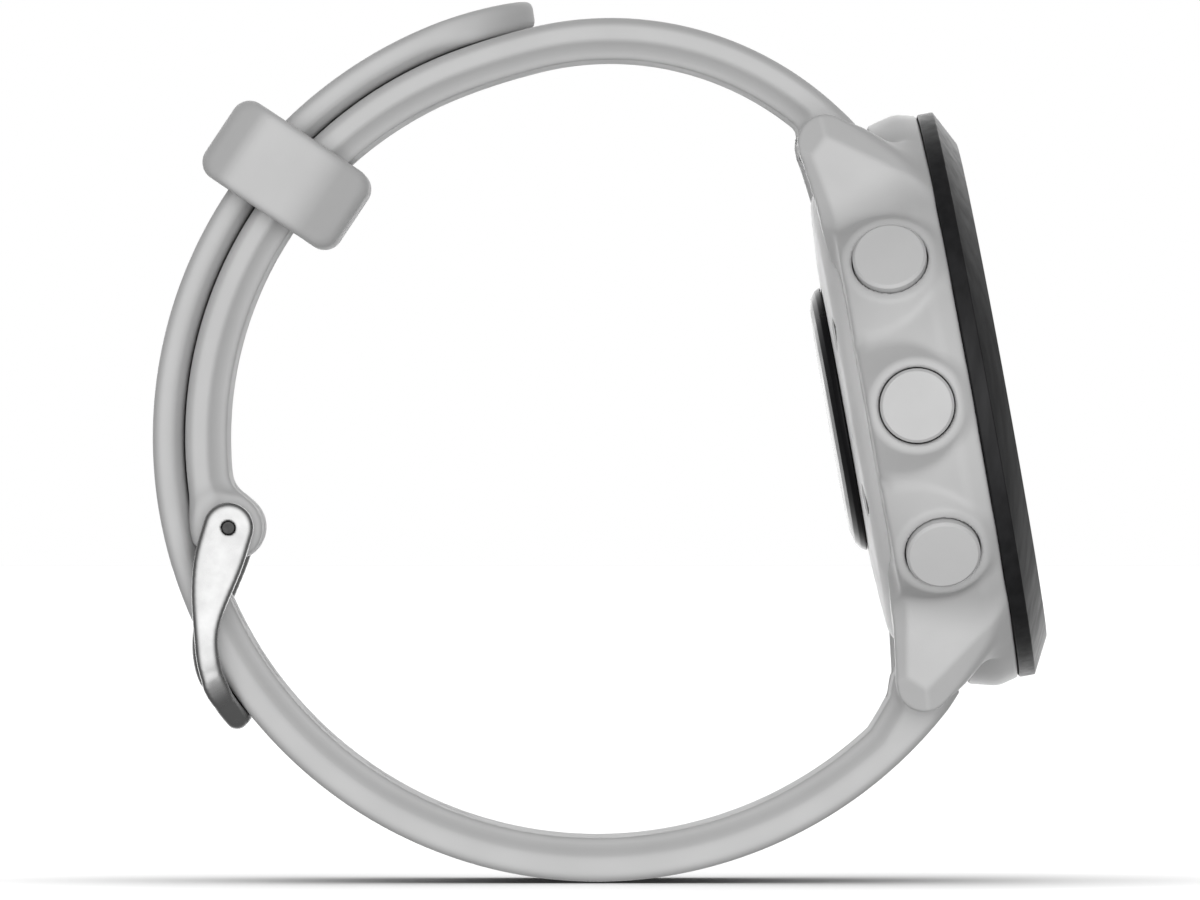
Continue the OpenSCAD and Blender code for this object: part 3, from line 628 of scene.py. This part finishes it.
def band_section(below_top, above_floor, beyond, tail=0):
    """Strap cross-section: a flat edge with a chamfer on its outer side and, on the side of the wrist,
    a hollow flank. On the tail the flank is a plain rounded bevel instead."""
    height = np.clip(above_floor, 0, LIP + 0.3)
    lean = FLANK_LOW + (FLANK_HIGH - FLANK_LOW) * height / LIP
    drop = (LIP - height) * (FLANK_LOW + (FLANK_HIGH - FLANK_LOW) * (LIP + height) / (2 * LIP))
    hollow = smooth_max(beyond, (beyond + drop) / np.sqrt(1 + lean ** 2), 0.25)
    bevel = (beyond * TAIL_LIP + (TAIL_LIP - above_floor) * TAIL_BEVEL) / math.hypot(TAIL_LIP, TAIL_BEVEL)
    edge = hollow * (1 - tail) + smooth_max(beyond, bevel, 0.6) * tail
    length = math.hypot(CHAMFER_H, CHAMFER_W)
    chamfer = (beyond * CHAMFER_H - (below_top - CHAMFER_H) * CHAMFER_W) / length
    edge = smooth_max(edge, chamfer, 0.25)
    faces = smooth_max(-below_top, -above_floor, 0.3)
    return smooth_max(faces, edge, 0.25)


def lug_end(x, y, z, side):
    """Distances for the strap's end at a spring bar: to its knuckle, and to the room for bar and lever."""
    cy, cz = case_yz(x, z)
    from_bar = np.hypot(cy - side * BAR_Y, cz - BAR_Z)
    knuckle = smooth_max(from_bar - KNUCKLE_R, np.abs(y) - HALF_STRAP, 0.5)
    lever = np.abs(cy - side * BAR_Y) - LEVER_HALF_WIDTH
    lever = np.maximum(lever, np.abs(cz - LEVER_MIDDLE_Z) - LEVER_HALF_Z)
    lever = np.maximum(lever, np.abs(y - LEVER_MIDDLE_Y) - LEVER_HALF_Y)
    return knuckle, np.minimum(from_bar - BAR_BORE, lever)


def long_shape(x, y, z):
    """The half from the lower lug round to the free tail, with its adjustment holes."""
    r, angle = np.hypot(x, z), loop_angle(x, z)
    tail = TAIL_FLOOR + TAIL_RISE * np.maximum(np.radians(BRIDGE_ANGLE - angle) * UNDER_R, 0) ** 2
    bends = ((TAIL_ROOT[0], TAIL_FLOOR), (TAIL_ROOT[1], LOOP_R - BAND_T)) + LOWER_FLOOR
    floor = np.where(angle < TAIL_BEFORE, tail, np.interp(angle, *zip(*bends)))
    top = np.interp(angle, *zip(*LOWER_TOP_R))
    from_tip = np.radians(angle - TIP_ANGLE) * LOOP_R
    round_end = np.hypot(np.minimum(from_tip - HALF_STRAP, 0), y) - HALF_STRAP
    is_tail = np.interp(angle, TAIL_ROOT, [1, 0])
    d = band_section(top - r, r - floor, np.abs(y) - HALF_STRAP, is_tail)
    d = smooth_max(d, round_end, 0.7)
    d = np.maximum(d, (angle - LOWER_END) * 0.5)
    knuckle, cut = lug_end(x, y, z, -1)
    d = smooth_min(d, knuckle, 0.8)
    place = np.clip(np.round((angle - USED_HOLE) / HOLE_STEP), -HOLES_BEFORE, HOLES_AFTER)
    nearest = USED_HOLE + HOLE_STEP * place
    length = np.where(nearest == USED_HOLE, USED_LENGTH, HOLE_LENGTH)
    width = np.where(nearest == USED_HOLE, USED_WIDTH, HOLE_WIDTH)
    along = np.abs(np.radians(angle - nearest) * (LOOP_R - 1)) - (length - width) / 2
    hole = np.hypot(np.maximum(along, 0), y) - width / 2
    return smooth_max(smooth_max(d, -hole, 0.35), -cut, 0.15)


def short_shape(x, y, z):
    """The half from the upper lug over a shoulder and a flatter bridge into the loop, to the buckle's eye."""
    angle = loop_angle(x, z)
    from_loop = np.hypot(x, z)
    from_bridge = np.hypot(x - BRIDGE[0], z - BRIDGE[1])
    from_shoulder = np.hypot(x - SHOULDER[0], z - SHOULDER[1])
    at_bridge = loop_angle(x - BRIDGE[0], z - BRIDGE[1])
    at_shoulder = loop_angle(x - SHOULDER[0], z - SHOULDER[1])
    in_loop = angle >= BRIDGE_ANGLE
    in_bridge = at_bridge >= SHOULDER_ANGLE
    below = np.where(in_loop, UNDER_R - from_loop, np.where(
        in_bridge, BRIDGE_R - from_bridge, SHOULDER_R - from_shoulder))
    d = band_section(below, UNDER_T - below, np.abs(y) - HALF_STRAP)
    d = np.maximum(d, np.radians(angle - UNDER_END) * 28)
    start = np.where(in_loop | in_bridge, -9.0, np.radians(UPPER_START - at_shoulder) * 22)
    d = np.maximum(d, start)
    knuckle, cut = lug_end(x, y, z, 1)
    d = smooth_min(d, knuckle, 0.8)
    from_pin = np.hypot(x - PIN[0], z - PIN[1])
    eye = smooth_max(from_pin - EYE_R, np.abs(y) - HALF_STRAP, 0.5)
    d = smooth_min(d, eye, 1.6)
    slot_cut = np.maximum(from_pin - EYE_R - 0.6, np.abs(y) - TONGUE_SLOT / 2)
    d = smooth_max(d, -slot_cut, 0.3)
    return smooth_max(smooth_max(d, -cut, 0.15), EYE_BORE - from_pin, 0.15)


def build_straps():
    for name, node, shape in (("strap_tail_half", "strap_long", long_shape),
                              ("strap_buckle_half", "strap_short", short_shape)):
        low, high = (np.array(c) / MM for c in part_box(node))
        points, quads = skin(shape, low - 0.7, high + 0.7, 0.25)
        finish_piece(add_mesh(name, points * MM, quads), "case", node)
    points, quads = skin(keeper_shape, KEEPER_LOW - 0.7, KEEPER_HIGH + 0.7, 0.2)
    finish_piece(add_mesh("keeper", points * MM, quads), "keeper", "keeper_loop")


KEEPER_ANGLE, KEEPER_SKEW, KEEPER_R = 139.8, -6.5, 29.8
KEEPER_H, KEEPER_W, KEEPER_SPAN, KEEPER_CORNER = 11.6, 6.5, 24.4, 1.4
# Its opening's half height, half width and corner radius; its bevels' distances and their slope
OPENING_H, OPENING_W, OPENING_CORNER = 3.35, 10.35, 1.2
OUTER_BEVEL, INNER_BEVEL, BEVEL_SLOPE = 3.5, 2.2, (0.72, 0.69)


def keeper_shape(x, y, z):
    """Moulded loop with bevelled sides, open along the strap."""
    middle = polar(KEEPER_R, KEEPER_ANGLE)
    out = polar(1, KEEPER_ANGLE - KEEPER_SKEW)
    a = (x - middle[0]) * out[0] + (z - middle[1]) * out[1]
    b = (z - middle[1]) * out[0] - (x - middle[0]) * out[1]
    face = rounded_box(a, b, KEEPER_H / 2, KEEPER_W / 2, KEEPER_CORNER)
    beyond = np.abs(y) - KEEPER_SPAN / 2
    outer = (a - OUTER_BEVEL) * BEVEL_SLOPE[0] + beyond * BEVEL_SLOPE[1]
    inner = (-a - INNER_BEVEL) * BEVEL_SLOPE[0] + beyond * BEVEL_SLOPE[1]
    sides = smooth_max(smooth_max(beyond, outer, 0.6), inner, 1.2)
    opening = rounded_box(a, y, OPENING_H, OPENING_W, OPENING_CORNER)
    return smooth_max(smooth_max(face, sides, 0.8), -opening, 0.4)


# ---------- Buckle ----------

ARM_IN, ARM_OUT = 10.4, 11.9
ARM_PATH = [PIN, np.array([-28.4, -11.5]), np.array([-29.9, -16.5]), np.array([-26.3, -20.5])]
TONGUE_PATH = [PIN, np.array([-28.3, -10.2]), np.array([-30.6, -15.2]), np.array([-28.35, -18.7])]
ARM_END_R, ARM_NECK_R, ARM_HOLE = 1.85, 0.85, 0.47
# How the arms' outer faces curve inwards near the tip, and break off more steeply at its very end
TIP_CURVE, TIP_START, TIP_LONGEST = 0.085, 5.4, 4.9
TIP_BREAK, TIP_BREAK_START = 0.83, 0.5
# The first point of the arm's path that the cross bar shares, and of the tongue's that needs a notch
CROSS_FROM, NOTCH_FROM = 22, 18
TONGUE_W, TONGUE_T, TONGUE_EYE_R = 1.7, 1.0, 1.55


def along(path, steps=28):
    """Points of a curve with their places on it from 0 to 1."""
    places = np.linspace(0, 1, steps)
    return places, [bezier(path, t) for t in places]


def buckle_shape(x, y, z):
    """Both arms, which narrow from the pin to a neck, and the cross bar that joins their tips."""
    ay = np.abs(y)
    places, points = along(ARM_PATH)
    fade = np.clip((places - 0.1) / 0.5, 0, 1)
    half = ARM_NECK_R + (ARM_END_R - ARM_NECK_R) * (1 - fade) ** 2 * (1 + 2 * fade)
    side = strip(x, z, points, half)
    tip, back = points[-1], points[-6] - points[-1]
    to_tip = ((x - tip[0]) * back[0] + (z - tip[1]) * back[1]) / math.hypot(*back)
    face = ARM_OUT - TIP_CURVE * np.clip(TIP_START - to_tip, 0, TIP_LONGEST) ** 2
    face = face - TIP_BREAK * np.maximum(TIP_BREAK_START - to_tip, 0)
    arm = smooth_max(smooth_max(side, ay - face, 0.5), ARM_IN - ay, 0.8)
    from_pin = np.hypot(x - PIN[0], z - PIN[1])
    arm = smooth_max(arm, ARM_HOLE - from_pin, 0.08)
    cross = strip(x, z, points[CROSS_FROM:], half[CROSS_FROM:])
    cross = smooth_max(cross, LOOP_R + 0.1 - np.hypot(x, z), 0.2)
    cross = smooth_max(cross, ay - face, 0.5)
    d = smooth_min(arm, cross, 0.35)
    return smooth_max(d, -tongue_notch(x, y, z), 0.15)


def tongue_notch(x, y, z):
    """Room for the tongue's tip in the cross bar, open towards the strap."""
    _, points = along(TONGUE_PATH)
    points = np.array(points[NOTCH_FROM:])
    way = np.gradient(points, axis=0)
    way /= np.linalg.norm(way, axis=1)[:, None]
    inward = np.stack([-way[:, 1], way[:, 0]], 1)
    low, high = -TONGUE_T / 2 - 0.12, 3.0
    middle = points + inward * (low + high) / 2
    channel = strip(x, z, middle, [(high - low) / 2] * len(points))
    past_tip = (x - points[-1][0]) * way[-1][0] + (z - points[-1][1]) * way[-1][1] - 0.35
    return np.maximum(np.maximum(channel, past_tip), np.abs(y) - TONGUE_W / 2 - 0.2)


def tongue_shape(x, y, z):
    """Flat bent tongue with its eye round the pin."""
    places, points = along(TONGUE_PATH)
    half = TONGUE_T / 2 * (1 - 0.5 * np.clip((places - 0.9) / 0.1, 0, 1) ** 2)
    from_pin = np.hypot(x - PIN[0], z - PIN[1])
    d = smooth_min(strip(x, z, points, half), from_pin - TONGUE_EYE_R, 0.6)
    d = smooth_max(d, np.abs(y) - TONGUE_W / 2, 0.8)
    return smooth_max(d, EYE_BORE - from_pin, 0.12)


def build_buckle():
    for name, node, body, shape, step in (("buckle", "buckle_frame", "buckle", buckle_shape, 0.16),
                                          ("tongue", "buckle_tongue", "tongue", tongue_shape, 0.12)):
        low, high = (np.array(c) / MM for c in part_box(node))
        points, quads = skin(shape, low - 0.5, high + 0.5, step)
        finish_piece(add_mesh(name, points * MM, quads), body, node)
    ends = []
    for side in (-1, 1):
        turn = np.array([[1.0, 0, 0], [0, 0, -side], [0, side, 0]])
        middle = np.array([PIN[0], 0, PIN[1]])
        ends.append(lathe("pin_tip", [
            (0, 6.0), (0.465, 6.0), (0.465, 11.93), (0.42, 11.97), (0, 11.97)], 0.02, 48,
            lambda local, turn=turn: (middle + local @ turn) * MM))
    # The pin's ends take the near-black look: painted shade in the arms' holes
    finish_piece(joined(ends, "buckle_pin_tips"), "case", "buckle_bar_tips", "painted_shade_metal")


def joined(objects, name):
    """One object from several."""
    points, faces = [], []
    for obj in objects:
        start = len(points)
        points += [tuple(v.co) for v in obj.data.vertices]
        faces += [[start + i for i in face.vertices] for face in obj.data.polygons]
        bpy.data.objects.remove(obj)
    mesh = bpy.data.meshes.new(name)
    mesh.from_pydata(points, [], faces)
    mesh.shade_smooth()
    whole = bpy.data.objects.new(name, mesh)
    bpy.context.collection.objects.link(whole)
    return whole


# ---------- Springs and the display's picture ----------

def coil(name, start, way, length, turns, coil_r, wire_r):
    """Wire wound round a line in the row frame, as a closed tube. Lengths are in millimetres."""
    way = np.array(way, float) / np.linalg.norm(way)
    sideways = np.cross(way, [0.3, 0.5, 0.8])
    sideways /= np.linalg.norm(sideways)
    across = np.cross(way, sideways)
    rings, sides = turns * 28, 10
    turn = np.linspace(0, turns * 2 * math.pi, rings)[:, None]
    rise = np.linspace(wire_r, length - wire_r, rings)[:, None]
    radial = np.cos(turn) * sideways + np.sin(turn) * across
    centre = np.array(start) + rise * way + coil_r * radial
    round_wire = np.linspace(0, 2 * math.pi, sides, endpoint=False)
    points = (centre[:, None] + wire_r * (
        np.cos(round_wire)[None, :, None] * radial[:, None] + np.sin(round_wire)[None, :, None] * way))
    quads = [[i * sides + j, i * sides + (j + 1) % sides, (i + 1) * sides + (j + 1) % sides,
              (i + 1) * sides + j] for i in range(rings - 1) for j in range(sides)]
    mesh = bpy.data.meshes.new(name)
    ends = [list(range(sides))[::-1], [(rings - 1) * sides + j for j in range(sides)]]
    mesh.from_pydata((points.reshape(-1, 3) * MM).tolist(), [], quads + ends)
    mesh.shade_smooth()
    obj = bpy.data.objects.new(name, mesh)
    bpy.context.collection.objects.link(obj)
    return obj


def build_springs():
    """Button springs press against their caps, and bar springs against the release levers."""
    for name, angle in BUTTON_ANGLES.items():
        out = case_place(math.cos(math.radians(angle)), math.sin(math.radians(angle)), 0) - CASE_ORIGIN
        start = CASE_ORIGIN + RECESS_FLOOR * out
        spring = coil("return_spring_" + name, start, out, length=1.8, turns=3, coil_r=1.7, wire_r=0.13)
        finish_piece(spring, "case", "spring_" + name)
        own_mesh(spring)
    for name, side in (("upper", 1), ("lower", -1)):
        start = case_place(-5.35, side * BAR_Y, BAR_Z)
        spring = coil("bar_spring_" + name, start, TO_3, length=10.5, turns=14, coil_r=0.3, wire_r=0.09)
        finish_piece(spring, "case", name + "_bar_spring")
        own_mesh(spring)


# The bars that make each digit, named as in places below, and where the marks lie
SEGMENTS = {"0": "abcdef", "1": "bc", "2": "abged", "8": "abcdefg"}
DISPLAY_TOP, INK_LOW, INK_HIGH = 5.4, 0.005, 0.03
DIGIT_PLACES, DIGIT_Y, DIGIT_W, DIGIT_H, DIGIT_WEIGHT = (-8.2, -3.2, 3.2, 8.2), 0.6, 3.4, 6.6, 0.85
DOT_PLACES, DOT_LENGTH = (-1.1, 2.3), 0.9
MARK_RING, HOUR_MARK, MINUTE_MARK = 15.6, (1.7, 0.42), (0.8, 0.2)
# The row of bars under the time: count, pitch, first place, foot and width
BAR_COUNT, BAR_PITCH, BAR_START, BAR_FOOT, BAR_W = 7, 1.5, -4.5, -8.2, 0.7


def flat_bar(middle, way, length, width):
    """Corners of a bar with pointed ends lying on the display, in case x and y."""
    middle, way = np.array(middle, float), np.array(way, float)
    across = np.array([-way[1], way[0]]) * width / 2
    reach = way * length / 2
    neck = way * (length - width) / 2
    return [middle - reach, middle - neck - across, middle + neck - across,
            middle + reach, middle + neck + across, middle - neck + across]


def digit(character, x, y, width, height, weight):
    """Bars of a seven-segment digit whose middle is at x, y."""
    w, h = width / 2, height / 2
    gap = weight * 0.12
    places = {
        "a": ((0, h), (1, 0)), "g": ((0, 0), (1, 0)), "d": ((0, -h), (1, 0)),
        "f": ((-w, h / 2), (0, 1)), "b": ((w, h / 2), (0, 1)),
        "e": ((-w, -h / 2), (0, 1)), "c": ((w, -h / 2), (0, 1))}
    bars = []
    for key in SEGMENTS[character]:
        (dx, dy), way = places[key]
        length = (width if way[0] else h) - 2 * gap
        bars.append(flat_bar((x + dx, y + dy), way, length, weight))
    return bars


def build_display():
    """The picture on the display: the time in plain digits and a row of bars, in a ring of minute marks."""
    bars = []
    for character, x in zip("1028", DIGIT_PLACES):
        bars += digit(character, x, DIGIT_Y, DIGIT_W, DIGIT_H, DIGIT_WEIGHT)
    for y in DOT_PLACES:
        bars.append(flat_bar((0, y), (0, 1), DOT_LENGTH, DIGIT_WEIGHT))
    for minute in range(60):
        turn = math.radians(minute * 6)
        way = (math.sin(turn), math.cos(turn))
        length, width = HOUR_MARK if minute % 5 == 0 else MINUTE_MARK
        bars.append(flat_bar(np.array(way) * (MARK_RING - length / 2), way, length, width))
    for step in range(BAR_COUNT):
        height = 1.0 + 0.35 * ((step * 3) % 5)
        middle = (BAR_START + BAR_PITCH * step, BAR_FOOT + height / 2)
        bars.append(flat_bar(middle, (0, 1), height, BAR_W))
    points, faces = [], []
    for corners in bars:
        start, count = len(points), len(corners)
        for z in (DISPLAY_TOP + INK_LOW, DISPLAY_TOP + INK_HIGH):
            points += [(c[0], c[1], z) for c in corners]
        faces.append([start + count + i for i in range(count)])
        faces.append([start + count - 1 - i for i in range(count)])
        faces += [[start + i, start + (i + 1) % count, start + count + (i + 1) % count, start + count + i]
                  for i in range(count)]
    mesh = bpy.data.meshes.new("display_marks")
    mesh.from_pydata(case_points(np.array(points)).tolist(), [], faces)
    obj = bpy.data.objects.new("display_marks", mesh)
    bpy.context.collection.objects.link(obj)
    finish_piece(obj, "case", None, "display_ink")


# ---------- Studio ----------

ROOM_DIM, ROOM_BRIGHT, ROOM_FALL = 0.22, 2.6, 4
FLOOR_SUN, FLOOR_SUN_SPREAD = 3.3, 140
# The floor's half width in metres, its gap under the watch and the reach of the shadow painted into its
# colour in millimetres
FLOOR_HALF, FLOOR_GAP, FLOOR_SHADE = 4.0, 0.1, 25


def light_room():
    """White surroundings that light the object most from the two sides of the watch."""
    world = bpy.data.worlds.new("studio")
    bpy.context.scene.world = world
    world.use_nodes = True
    nodes, links = world.node_tree.nodes, world.node_tree.links
    nodes.clear()
    place = nodes.new("ShaderNodeTexCoord")
    split = nodes.new("ShaderNodeSeparateXYZ")
    links.new(place.outputs["Generated"], split.inputs["Vector"])
    steps = []
    for operation, value in (("ABSOLUTE", 0), ("POWER", ROOM_FALL),
                             ("MULTIPLY", ROOM_BRIGHT), ("ADD", ROOM_DIM)):
        step = nodes.new("ShaderNodeMath")
        step.operation = operation
        step.inputs[1].default_value = value
        links.new(steps[-1].outputs["Value"] if steps else split.outputs["Y"], step.inputs[0])
        steps.append(step)
    lit = nodes.new("ShaderNodeBackground")
    links.new(steps[-1].outputs["Value"], lit.inputs["Strength"])
    seen = nodes.new("ShaderNodeBackground")
    seen.inputs["Color"].default_value = (1, 1, 1, 1)
    lit.inputs["Color"].default_value = (1, 1, 1, 1)
    path = nodes.new("ShaderNodeLightPath")
    mix = nodes.new("ShaderNodeMixShader")
    links.new(path.outputs["Is Camera Ray"], mix.inputs["Fac"])
    links.new(lit.outputs["Background"], mix.inputs[1])
    links.new(seen.outputs["Background"], mix.inputs[2])
    out = nodes.new("ShaderNodeOutputWorld")
    links.new(mix.outputs["Shader"], out.inputs["Surface"])
    bpy.context.scene.view_settings.view_transform = "Standard"


def floor_look():
    """White floor whose colour an ambient occlusion node darkens where the watch stands close above it: a
    painted contact shadow.
    """
    material = make_look("floor", (0.7, 0.7, 0.7), 0.9, mottle=0.005, patch=80, relief=0)
    nodes, links = material.node_tree.nodes, material.node_tree.links
    # Painted shadow: ambient occlusion darkens the floor's base colour close under the watch
    painted_shadow = nodes.new("ShaderNodeAmbientOcclusion")
    painted_shadow.inputs["Distance"].default_value = FLOOR_SHADE * MM
    base = nodes["Principled BSDF"].inputs["Base Color"]
    links.new(base.links[0].from_socket, painted_shadow.inputs["Color"])
    links.new(painted_shadow.outputs["Color"], base)
    return material


def add_floor():
    """Plain white floor with a soft light of its own, so that only the watch's shadow shows on it. That
    shadow is partly cast by this light and partly painted into the floor's colour by floor_look.
    """
    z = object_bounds()[0][2] - FLOOR_GAP * MM
    mesh = bpy.data.meshes.new("floor")
    corners = [(x * FLOOR_HALF, y * FLOOR_HALF, z) for x, y in ((-1, -1), (1, -1), (1, 1), (-1, 1))]
    mesh.from_pydata(corners, [], [(0, 1, 2, 3)])
    floor = bpy.data.objects.new("floor", mesh)
    bpy.context.collection.objects.link(floor)
    floor.data.materials.append(floor_look())
    floor.visible_diffuse = False
    floor.visible_glossy = False
    sun = bpy.data.lights.new("floor_light", "SUN")
    sun.energy = FLOOR_SUN
    sun.angle = math.radians(FLOOR_SUN_SPREAD)
    lamp = bpy.data.objects.new("floor_light", sun)
    bpy.context.collection.objects.link(lamp)
    only_floor = bpy.data.collections.new("floor_only")
    only_floor.objects.link(floor)
    lamp.light_linking.receiver_collection = only_floor


# ---------- Putting it together ----------

add_camera()
dress_frame()
build_case()
build_buttons()
build_straps()
build_buckle()
build_springs()
build_display()
light_room()
add_floor()
